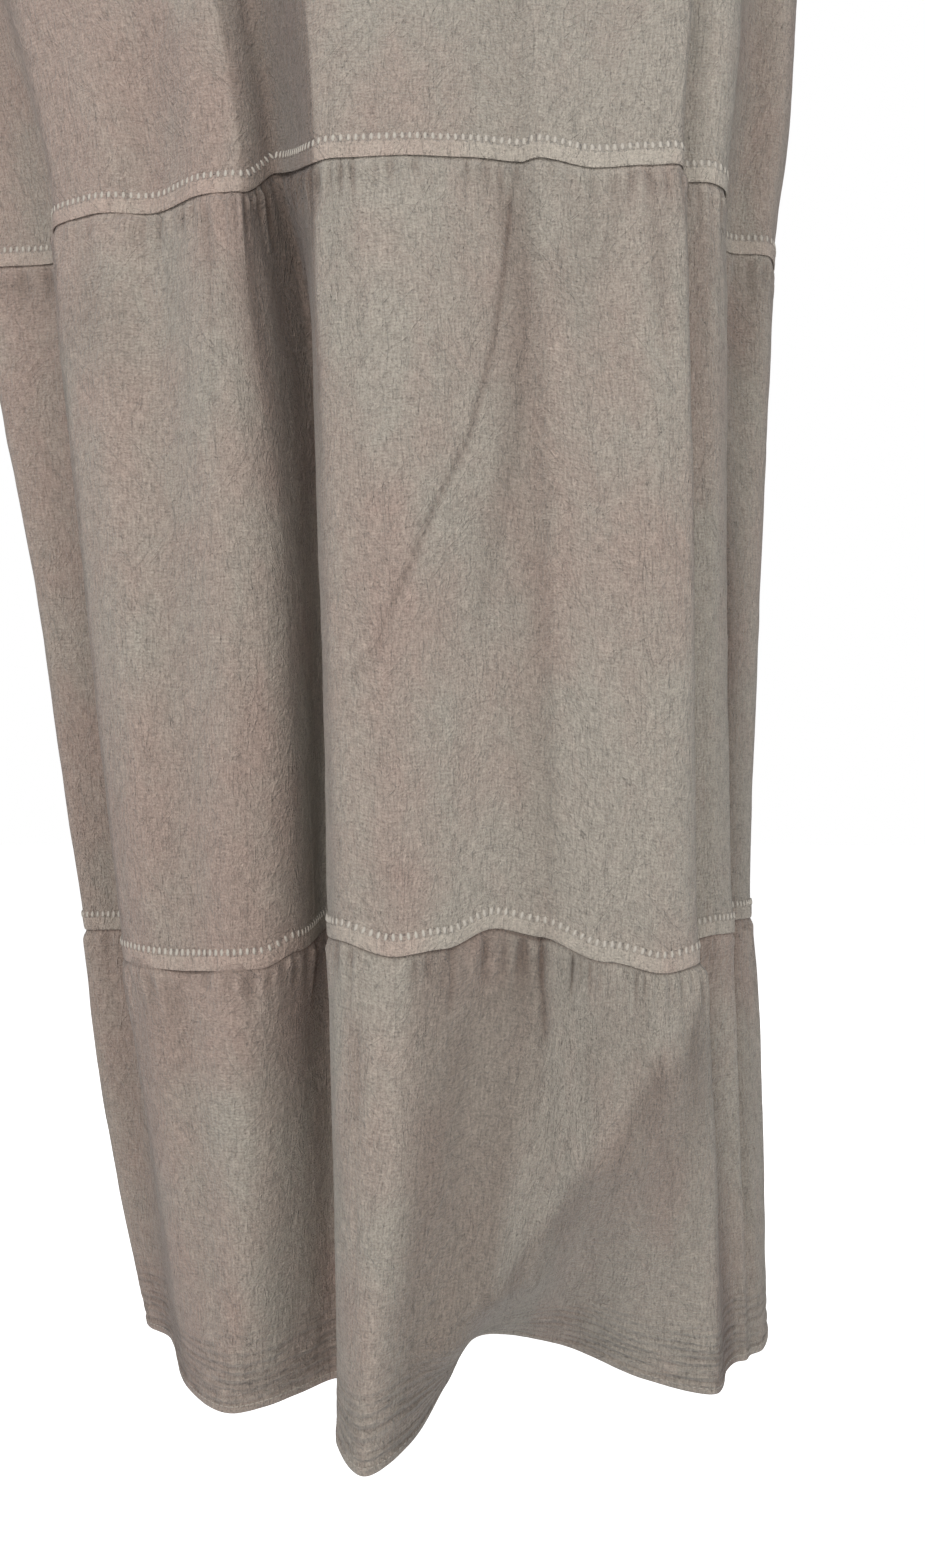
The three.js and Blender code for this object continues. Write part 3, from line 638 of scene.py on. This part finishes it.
def stitch_places(cloth, row_height, pitch):
    """Points evenly spaced along a panel at a height above its foot, with the three directions at each."""
    mesh = cloth.data
    total = len(mesh.vertices) // 2
    co = np.zeros(len(mesh.vertices) * 3)
    mesh.vertices.foreach_get("co", co)
    co = co.reshape(-1, 3)[:total] / MM
    foot = np.zeros(len(mesh.vertices))
    mesh.attributes["foot"].data.foreach_get("value", foot)
    foot = foot[:total] / MM
    cols = cloth["columns"]
    grid, heights = co.reshape(-1, cols, 3), foot.reshape(-1, cols)
    n = normals(grid)
    below = np.argmax(heights <= row_height, axis=0)
    k = np.arange(cols)
    upper, lower = heights[below - 1, k], heights[below, k]
    t = ((upper - row_height) / np.maximum(1e-6, upper - lower))[:, None]
    line = mix(grid[below - 1, k], grid[below, k], t)
    face = mix(n[below - 1, k], n[below, k], t)
    loops = np.zeros(len(mesh.loops), np.int32)
    mesh.loops.foreach_get("vertex_index", loops)
    flat = np.zeros(len(mesh.loops) * 2)
    mesh.uv_layers["cloth"].data.foreach_get("uv", flat)
    arc = np.zeros(len(mesh.vertices))
    arc[loops] = flat[::2] / MM
    arc = arc[:cols]
    where = np.arange(pitch, arc[-1] - pitch * 0.5, pitch)

    def pick(field, places):
        return np.stack([np.interp(places, arc, field[:, j]) for j in range(3)], -1)

    centres, out = pick(line, where), pick(face, where)
    out /= np.linalg.norm(out, axis=1, keepdims=True)
    along = centres - pick(line, where - 0.8)
    along /= np.linalg.norm(along, axis=1, keepdims=True)
    return centres, along, np.cross(out, along), out


def feed(tree, node, values):
    """Fills inputs of a node by name or number: a socket is linked, any other value is set."""
    for key, value in values.items():
        if isinstance(value, bpy.types.NodeSocket):
            tree.links.new(value, node.inputs[key])
        else:
            node.inputs[key].default_value = value
    return node


def add_group(name, inputs, outputs):
    """New shader node group; returns it with its inputs to read and its output node. The default of an
    input tells its kind: None for a vector, a tuple for a colour, or a number."""
    kinds = {type(None): "NodeSocketVector", tuple: "NodeSocketColor"}
    group = bpy.data.node_groups.new(name, "ShaderNodeTree")
    for socket, value in inputs.items():
        kind = kinds.get(type(value), "NodeSocketFloat")
        made = group.interface.new_socket(name=socket, in_out="INPUT", socket_type=kind)
        if value is not None:
            made.default_value = value
    for socket in outputs:
        kind = "NodeSocketColor" if socket == "Color" else "NodeSocketFloat"
        group.interface.new_socket(name=socket, in_out="OUTPUT", socket_type=kind)
    return group, group.nodes.new("NodeGroupInput").outputs, group.nodes.new("NodeGroupOutput")


def maths(tree, operation, a, b=None, clamp=False):
    node = tree.nodes.new("ShaderNodeMath")
    node.operation = operation
    node.use_clamp = clamp
    return feed(tree, node, {0: a} if b is None else {0: a, 1: b}).outputs[0]


def plus(tree, a, b, clamp=False):
    return maths(tree, "ADD", a, b, clamp)


def minus(tree, a, b, clamp=False):
    return maths(tree, "SUBTRACT", a, b, clamp)


def times(tree, a, b, clamp=False):
    return maths(tree, "MULTIPLY", a, b, clamp)


def noise_at(tree, vector, scale, stretch, detail=2.0, rough=0.5, warp=0.0, shift=0.0):
    """Noise read from the vector after it is scaled by the stretch in u and v."""
    places = {"Vector": vector, "Scale": (*stretch, 1), "Location": (shift, shift * 0.7, 0)}
    mapping = feed(tree, tree.nodes.new("ShaderNodeMapping"), places)
    grain = {"Scale": scale, "Detail": detail, "Roughness": rough, "Distortion": warp}
    node = feed(tree, tree.nodes.new("ShaderNodeTexNoise"), {"Vector": mapping.outputs[0], **grain})
    return node.outputs["Fac"]


def weave_group():
    """Threads: a fine grain with faint streaks across and down, and a loose slub here and there."""
    group, given, result = add_group("Gauze weave", {"Vector": None}, ("Height", "Thread"))
    vector = given["Vector"]
    grain = noise_at(group, vector, 1.0, (1050, 980), 2.0, 0.7)
    warp = noise_at(group, vector, 1.0, (980, 170), 1.0, 0.5, 0.2, 4.0)
    weft = noise_at(group, vector, 1.0, (190, 900), 1.0, 0.5, 0.2, 9.0)
    lines = plus(group, times(group, warp, 0.3), times(group, weft, 0.2))
    height = plus(group, times(group, grain, 0.5), lines)
    feed(group, result, {"Height": height, "Thread": minus(group, height, 0.5)})
    return group


def ridges(tree, vector, stretch, turn, warp, shift, width):
    """Thin wavering ridges, 0 to 1, along the middle value of a stretched noise turned by an angle."""
    if turn:
        values = {"Vector": vector, "Rotation": (0, 0, math.radians(turn))}
        vector = feed(tree, tree.nodes.new("ShaderNodeMapping"), values).outputs[0]
    fac = noise_at(tree, vector, 1.0, stretch, 2.0, 0.5, warp, shift)
    off = maths(tree, "ABSOLUTE", minus(tree, fac, 0.5))
    return minus(tree, 1.0, times(tree, off, 1 / width), clamp=True)


def crinkle_group():
    """Crinkle: soft grain, upright wavering ridges of uneven length, and patches of slanting ones."""
    group, given, result = add_group("Gauze crinkle", {"Vector": None}, ("Height", "Ridge"))
    vector = given["Vector"]
    grain = noise_at(group, vector, 1.0, (430, 360), 2.5, 0.65)
    soft = noise_at(group, vector, 1.0, (150, 95), 2.0, 0.5, 0.6, 2.0)
    upright = ridges(group, vector, (150, 30), 0, 1.2, 5.0, 0.055)
    patch = noise_at(group, vector, 1.0, (28, 22), 1.0, 0.5, 0.0, 11.0)
    leaning = times(group, minus(group, patch, 0.46), 9.0, clamp=True)
    other = minus(group, 1.0, leaning)
    rising = times(group, ridges(group, vector, (150, 34), 34, 0.9, 7.0, 0.05), leaning)
    falling = times(group, ridges(group, vector, (150, 34), -30, 0.9, 13.0, 0.05), other)
    lines = times(group, plus(group, upright, plus(group, rising, falling)), 0.13)
    height = plus(group, times(group, grain, 0.54), times(group, soft, 0.36))
    height = plus(group, height, lines)
    feed(group, result, {"Height": height, "Ridge": minus(group, height, 0.52)})
    return group


def pits_group():
    """Small dents between the topstitches, 0 to 1: a wave along the seam inside the top of the band."""
    inputs = {"Vector": None, "Foot": 0.0, "Band": 0.0, "Middle": 0.009, "Pitch": 0.0036}
    group, given, result = add_group("Stitch dents", inputs, ("Dent",))
    split = feed(group, group.nodes.new("ShaderNodeSeparateXYZ"), {0: given["Vector"]})
    turns = maths(group, "DIVIDE", split.outputs["X"], given["Pitch"])
    swing = maths(group, "COSINE", times(group, turns, 2 * math.pi))
    wave = times(group, minus(group, 1.0, swing), 0.5)
    off = maths(group, "ABSOLUTE", minus(group, given["Foot"], given["Middle"]))
    inside = times(group, minus(group, 0.0023, off), 1800.0, clamp=True)
    dent = times(group, maths(group, "POWER", wave, 1.6), inside)
    feed(group, result, {"Dent": times(group, dent, given["Band"])})
    return group


def ripples_group():
    """Fine ripples along the hem: a wave of the height above it, bent and broken into patches by noise. Its
    line output marks the valleys between the ripples, where the cloth colour is darkened as painted shade.
    """
    inputs = {"Vector": None, "Foot": 0.0, "Share": 0.0, "Spacing": 0.005}
    group, given, result = add_group("Hem ripples", inputs, ("Height", "Line"))
    vector = given["Vector"]
    bend = times(group, noise_at(group, vector, 1.0, (20, 26), 1.0, 0.5, 0.0, 3.0), 2.6)
    turns = plus(group, maths(group, "DIVIDE", given["Foot"], given["Spacing"]), bend)
    wave = maths(group, "COSINE", times(group, turns, 2 * math.pi))
    wave = plus(group, times(group, wave, 0.5), 0.5)
    patches = noise_at(group, vector, 1.0, (38, 150), 1.0, 0.5, 0.0, 8.0)
    strength = times(group, minus(group, patches, 0.34), 6.0, clamp=True)
    strength = times(group, strength, given["Share"])
    valley = maths(group, "POWER", minus(group, 1.0, wave), 3.0)
    feed(group, result, {"Height": times(group, wave, strength), "Line": times(group, valley, strength)})
    return group


def mix_colour(tree, share, a, b):
    node = tree.nodes.new("ShaderNodeMix")
    node.data_type = "RGBA"
    return feed(tree, node, {0: share, 6: a, 7: b}).outputs[2]


def tone_group():
    """Cloth colour: two shades in soft patches, darkened towards a warm brown as painted shade where the
    hollow mark is high, paler in the band.
    """
    colours = {
        "Cloth": (0.4, 0.35, 0.3, 1),
        "Rosy": (0.4, 0.33, 0.3, 1),
        "Painted shade colour": (0.3, 0.22, 0.18, 1),
    }
    shares = dict.fromkeys(("Rosy share", "Hollow", "Band", "Thread", "Ridge", "Dent", "Line"), 0.0)
    group, given, result = add_group("Cloth tone", {"Vector": None, **colours, **shares}, ("Color",))
    patches = noise_at(group, given["Vector"], 1.0, (70, 34), 3.0, 0.6, 0.5)
    mottle = times(group, minus(group, patches, 0.5), 1.1)
    share = plus(group, mottle, given["Rosy share"], clamp=True)
    colour = mix_colour(group, share, given["Cloth"], given["Rosy"])
    # Painted shade: the colour turns towards the darker shade colour where the hollow mark is high.
    depth = times(group, given["Hollow"], 0.95, clamp=True)
    colour = mix_colour(group, depth, colour, given["Painted shade colour"])
    fine = times(group, given["Thread"], 2.3)
    # Dent and Line darken the colour in the stitch dents and in the hem ripple valleys: painted shade.
    for key, weight in (("Ridge", 0.45), ("Band", 0.24), ("Dent", -0.3), ("Line", -0.24)):
        fine = plus(group, fine, times(group, given[key], weight))
    scale = group.nodes.new("ShaderNodeVectorMath")
    scale.operation = "SCALE"
    feed(group, scale, {0: colour, "Scale": plus(group, 1.0, fine)})
    feed(group, result, {"Color": scale.outputs[0]})
    return group


GROUPS = {
    "Gauze weave": weave_group,
    "Gauze crinkle": crinkle_group,
    "Stitch dents": pits_group,
    "Hem ripples": ripples_group,
    "Cloth tone": tone_group,
}


def place_group(tree, name, values):
    """Node that holds the shared group of that name, which is built once, with its inputs filled."""
    node = tree.nodes.new("ShaderNodeGroup")
    node.node_tree = bpy.data.node_groups.get(name) or GROUPS[name]()
    return feed(tree, node, values)


def mark(tree, key):
    """Value of a named mark of the mesh."""
    node = tree.nodes.new("ShaderNodeAttribute")
    node.attribute_name = key
    return node.outputs["Fac"]


def bump(tree, strength, distance, height):
    """Bump node for a relief of that height."""
    values = {"Strength": strength, "Distance": distance, "Height": height}
    return feed(tree, tree.nodes.new("ShaderNodeBump"), values)


def new_material(name):
    """New material, with its node tree and its main shader node."""
    material = bpy.data.materials.new(name)
    material.use_nodes = True
    return material, material.node_tree, material.node_tree.nodes["Principled BSDF"]


def gauze_material(colours, sizes):
    """Crinkled cotton gauze: dull, softly fuzzy, with weave and crinkle in colour and relief."""
    found = bpy.data.materials.get("crinkled cotton gauze")
    if found:
        return found
    material, tree, shader = new_material("crinkled cotton gauze")
    uv = tree.nodes.new("ShaderNodeUVMap")
    uv.uv_map = "cloth"
    flat = {"Vector": uv.outputs[0]}
    # The hollow mark, the stitch dents and the ripple lines feed painted shade into the cloth colour.
    keys = ("hollow", "band", "rosy", "foot", "ripple")
    hollow, band, rosy, foot, ripple = (mark(tree, key) for key in keys)
    weave = place_group(tree, "Gauze weave", flat)
    crinkle = place_group(tree, "Gauze crinkle", flat)
    top = {"Middle": sizes.band_height - 1.3 * MM, "Pitch": sizes.stitch_pitch}
    dents = place_group(tree, "Stitch dents", {**flat, "Foot": foot, "Band": band, **top})
    waves = place_group(tree, "Hem ripples", {**flat, "Foot": foot, "Share": ripple, "Spacing": 5 * MM})
    values = {
        "Cloth": (*colours.cloth, 1),
        "Rosy": (*colours.rosy, 1),
        "Painted shade colour": (*colours.hollow, 1),
        "Rosy share": rosy,
        "Hollow": hollow,
        "Band": band,
        "Thread": weave.outputs["Thread"],
        "Ridge": crinkle.outputs["Ridge"],
        "Dent": dents.outputs["Dent"],
        "Line": waves.outputs["Line"],
    }
    tone = place_group(tree, "Cloth tone", {**flat, **values})
    surface = minus(tree, crinkle.outputs["Height"], times(tree, dents.outputs["Dent"], 0.25))
    surface = plus(tree, surface, times(tree, waves.outputs["Height"], 0.52))
    fold = bump(tree, 0.9, 0.0031, surface)
    thread = bump(tree, 0.7, 0.0019, weave.outputs["Height"])
    feed(tree, thread, {"Normal": fold.outputs["Normal"]})
    feed(tree, shader, {"Base Color": tone.outputs["Color"], "Normal": thread.outputs["Normal"]})
    feed(tree, shader, {"Roughness": 0.92, "Specular IOR Level": 0.25})
    feed(tree, shader, {"Sheen Weight": 0.25, "Sheen Roughness": 0.6})
    return material


def mottled(tree, scale, dark, colour):
    """A noise over the object, and a colour that it turns to a darker one in places."""
    place = tree.nodes.new("ShaderNodeTexCoord")
    spots = noise_at(tree, place.outputs["Object"], scale, (1, 1), 2.0)
    return spots, mix_colour(tree, spots, (*[v * dark for v in colour], 1), (*colour, 1))


def thread_material(colours):
    """Matt cotton sewing thread, a shade paler than the cloth, with a fine twist."""
    found = bpy.data.materials.get("sewing thread")
    if found:
        return found
    material, tree, shader = new_material("sewing thread")
    fuzz, shade = mottled(tree, 900.0, 0.86, colours.thread)
    twist = bump(tree, 0.4, 0.0002, fuzz)
    feed(tree, shader, {"Base Color": shade, "Normal": twist.outputs["Normal"]})
    feed(tree, shader, {"Roughness": 0.85, "Sheen Weight": 0.3})
    return material


def studio_world(strength):
    """White surroundings: seen as white, and lighting the cloth softly from all round at this strength."""
    world = bpy.data.worlds.new("studio")
    world.use_nodes = True
    tree = world.node_tree
    seen = feed(tree, tree.nodes["Background"], {"Color": (1, 1, 1, 1)})
    fill = feed(tree, tree.nodes.new("ShaderNodeBackground"), {"Strength": strength})
    path = tree.nodes.new("ShaderNodeLightPath")
    shaders = {0: path.outputs["Is Camera Ray"], 1: fill.outputs[0], 2: seen.outputs[0]}
    mixer = feed(tree, tree.nodes.new("ShaderNodeMixShader"), shaders)
    feed(tree, tree.nodes["World Output"], {"Surface": mixer.outputs[0]})
    return world


def plain_material(name, colour, rough):
    """Pale painted studio surface with a faint mottle, seen as white like a lit backdrop."""
    material, tree, shader = new_material(name)
    shade = mottled(tree, 3.0, 0.98, colour)[1]
    path = tree.nodes.new("ShaderNodeLightPath")
    glow = mix_colour(tree, path.outputs["Is Camera Ray"], (0.0, 0.0, 0.0, 1), (1.0, 1.0, 1.0, 1))
    feed(tree, shader, {"Base Color": shade, "Roughness": rough})
    feed(tree, shader, {"Emission Color": glow, "Emission Strength": 0.92})
    return material


def aim_at(obj, target):
    """Turns a lamp so that its -Z axis points at the target."""
    gap = np.array(target) - np.array(obj.location)
    flat = math.hypot(gap[0], gap[1])
    obj.rotation_euler = (math.atan2(flat, -gap[2]), 0, math.atan2(gap[1], gap[0]) - math.pi / 2)


def length_property(name, description, default):
    return bpy.props.FloatProperty(
        name=name, description=description, default=default, subtype="DISTANCE", unit="LENGTH"
    )


def colour_property(name, description, default):
    return bpy.props.FloatVectorProperty(
        name=name, description=description, size=3, subtype="COLOR", min=0, max=1, default=default
    )


class DressSizes(bpy.types.PropertyGroup):
    """Sizes of the cloth and of the sewing"""

    cloth: length_property("Cloth", "Thickness of the gauze", 0.8 * MM)
    band_height: length_property("Seam band", "Height of the topstitched seam allowance", 10.5 * MM)
    hem_height: length_property("Hem", "Height of the turned hem", 4.8 * MM)
    gather_depth: length_property("Gather depth", "Depth of the gathers under a seam", 1.9 * MM)
    gather_reach: length_property("Gather reach", "Usual length of a gather", 34 * MM)
    stitch_pitch: length_property("Stitch", "Distance from stitch to stitch", 3.6 * MM)


class DressColours(bpy.types.PropertyGroup):
    """Colours of the cloth, the thread and the studio"""

    cloth: colour_property("Cloth", "Main colour of the gauze", (0.398, 0.354, 0.3))
    rosy: colour_property("Rosy patches", "Softer, rosier patches of the gauze", (0.396, 0.302, 0.254))
    # Painted shade: the warm brown that the cloth colour is darkened towards in the hollows and creases,
    # where they lie in shade.
    hollow: colour_property("Hollows", "Warm brown in the deep hollows", (0.15, 0.108, 0.085))
    thread: colour_property("Thread", "Sewing thread", (0.6, 0.55, 0.48))
    floor: colour_property("Floor", "Studio floor", (0.9, 0.9, 0.9))


def finish_piece(obj, nodes=()):
    """Ties a finished piece to the part's one body, and hides the solids that it stands for."""
    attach(obj, "root")
    if nodes:
        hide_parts(*nodes)


def build_pair(context, part):
    """Builds the front and the back of the body or of a tier, one after the other."""
    sizes = context.scene.dress_sizes
    material = gauze_material(context.scene.dress_colours, sizes)
    for side in ("front", "back"):
        if part == "body":
            obj = build_body(side, sizes, material)
            finish_piece(obj, [f"body_{side}"])
        else:
            obj = build_tier(part, side, sizes, material)
            finish_piece(obj, [f"{part}_tier_{side}"])
        yield obj


class DRESS_OT_body(bpy.types.Operator):
    """Builds the front and back of the body down to the first seam"""

    bl_idname = "dress.body"
    bl_label = "Body"

    def execute(self, context):
        for obj in build_pair(context, "body"):
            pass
        return {"FINISHED"}


class DRESS_OT_middle_tier(bpy.types.Operator):
    """Builds the front and back of the gathered middle tier"""

    bl_idname = "dress.middle_tier"
    bl_label = "Middle tier"

    def execute(self, context):
        for obj in build_pair(context, "middle"):
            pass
        return {"FINISHED"}


class DRESS_OT_bottom_tier(bpy.types.Operator):
    """Builds the front and back of the gathered bottom tier with its turned hem"""

    bl_idname = "dress.bottom_tier"
    bl_label = "Bottom tier"

    def execute(self, context):
        for obj in build_pair(context, "bottom"):
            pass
        return {"FINISHED"}


class DRESS_OT_topstitching(bpy.types.Operator):
    """Builds the topstitching on both cross seams and the stitch line of the hem"""

    bl_idname = "dress.topstitching"
    bl_label = "Topstitching"

    def execute(self, context):
        sizes = context.scene.dress_sizes
        material = thread_material(context.scene.dress_colours)
        pitch, band, hem = sizes.stitch_pitch / MM, sizes.band_height / MM, sizes.hem_height / MM
        for side in ("front", "back"):
            body = bpy.data.objects[f"body_cloth_{side}"]
            middle = bpy.data.objects[f"middle_tier_cloth_{side}"]
            bottom = bpy.data.objects[f"bottom_tier_cloth_{side}"]
            lines = (
                ("first_seam_topstitch", body, band - 1.3, pitch, (0.85, 1.9, 0.42)),
                ("second_seam_topstitch", middle, band - 1.3, pitch, (0.85, 1.9, 0.42)),
                ("hem_stitch", bottom, hem - 0.9, 3.0, (1.05, 0.2, 0.14)),
            )
            for name, cloth, height, step, size in lines:
                centres, along, up, out = stitch_places(cloth, height, step)
                obj = lump_mesh(f"{name}_{side}", centres, along, up, out, size, material)
                finish_piece(obj)
        return {"FINISHED"}


class DRESS_OT_stage(bpy.types.Operator):
    """Builds the pale floor, the soft lights and the camera at the photograph's angle"""

    bl_idname = "dress.stage"
    bl_label = "Stage"

    def execute(self, context):
        scene = context.scene
        z = -1.48
        mesh = bpy.data.meshes.new("studio_floor")
        mesh.from_pydata([(-9, -9, z), (9, -9, z), (9, 9, z), (-9, 9, z)], [], [(0, 1, 2, 3)])
        floor = bpy.data.objects.new("studio_floor", mesh)
        mesh.materials.append(plain_material("studio floor", scene.dress_colours.floor, 0.9))
        scene.collection.objects.link(floor)
        scene.world = studio_world(0.235)
        lamps = (
            ("key soft box", (-1.0, -1.8, 0.4), (0.0, 0.0, -1.02), 21.5, 0.9),
            ("right soft box", (1.0, -1.8, 0.0), (0.0, 0.0, -0.98), 10.5, 1.2),
            ("front soft box", (-0.05, -2.0, -0.75), (0.0, 0.0, -1.04), 8.0, 0.7),
            ("low side soft box", (1.5, -0.95, -0.95), (0.1, 0.0, -0.98), 1.8, 1.0),
            ("back soft box", (0.5, 2.2, -0.1), (0.0, 0.0, -0.7), 20.0, 1.4),
        )
        for name, place, aim, power, size in lamps:
            light = bpy.data.lights.new(name, "AREA")
            light.energy, light.size = power, size
            lamp = bpy.data.objects.new(name, light)
            lamp.location = place
            aim_at(lamp, aim)
            scene.collection.objects.link(lamp)
        data = bpy.data.cameras.new("photo view")
        data.sensor_width = 36
        data.lens = 27.2
        camera = bpy.data.objects.new("photo view", data)
        camera.location = (0.05, -0.668, -0.975)
        camera.rotation_euler = (math.pi / 2, 0, 0)
        scene.collection.objects.link(camera)
        scene.camera = camera
        scene.view_settings.view_transform = "Standard"
        return {"FINISHED"}


class DRESS_PT_panel(bpy.types.Panel):
    """Sizes, colours and steps of the dress in the sidebar"""

    bl_label = "Tiered maxi dress"
    bl_idname = "DRESS_PT_panel"
    bl_space_type = "VIEW_3D"
    bl_region_type = "UI"
    bl_category = "Dress"

    def draw(self, context):
        for group in (context.scene.dress_sizes, context.scene.dress_colours):
            box = self.layout.box()
            for name in type(group).__annotations__:
                box.prop(group, name)
        for operator in OPERATORS:
            self.layout.operator(operator.bl_idname)


OPERATORS = (
    DRESS_OT_body,
    DRESS_OT_middle_tier,
    DRESS_OT_bottom_tier,
    DRESS_OT_topstitching,
    DRESS_OT_stage,
)
CLASSES = (DressSizes, DressColours, *OPERATORS, DRESS_PT_panel)


def register():
    for cls in CLASSES:
        bpy.utils.register_class(cls)
    bpy.types.Scene.dress_sizes = bpy.props.PointerProperty(type=DressSizes)
    bpy.types.Scene.dress_colours = bpy.props.PointerProperty(type=DressColours)


def unregister():
    del bpy.types.Scene.dress_sizes
    del bpy.types.Scene.dress_colours
    for cls in reversed(CLASSES):
        bpy.utils.unregister_class(cls)


def main():
    register()
    bpy.ops.dress.body()
    bpy.ops.dress.middle_tier()
    bpy.ops.dress.bottom_tier()
    bpy.ops.dress.topstitching()
    bpy.ops.dress.stage()


if __name__ == "__main__":
    main()
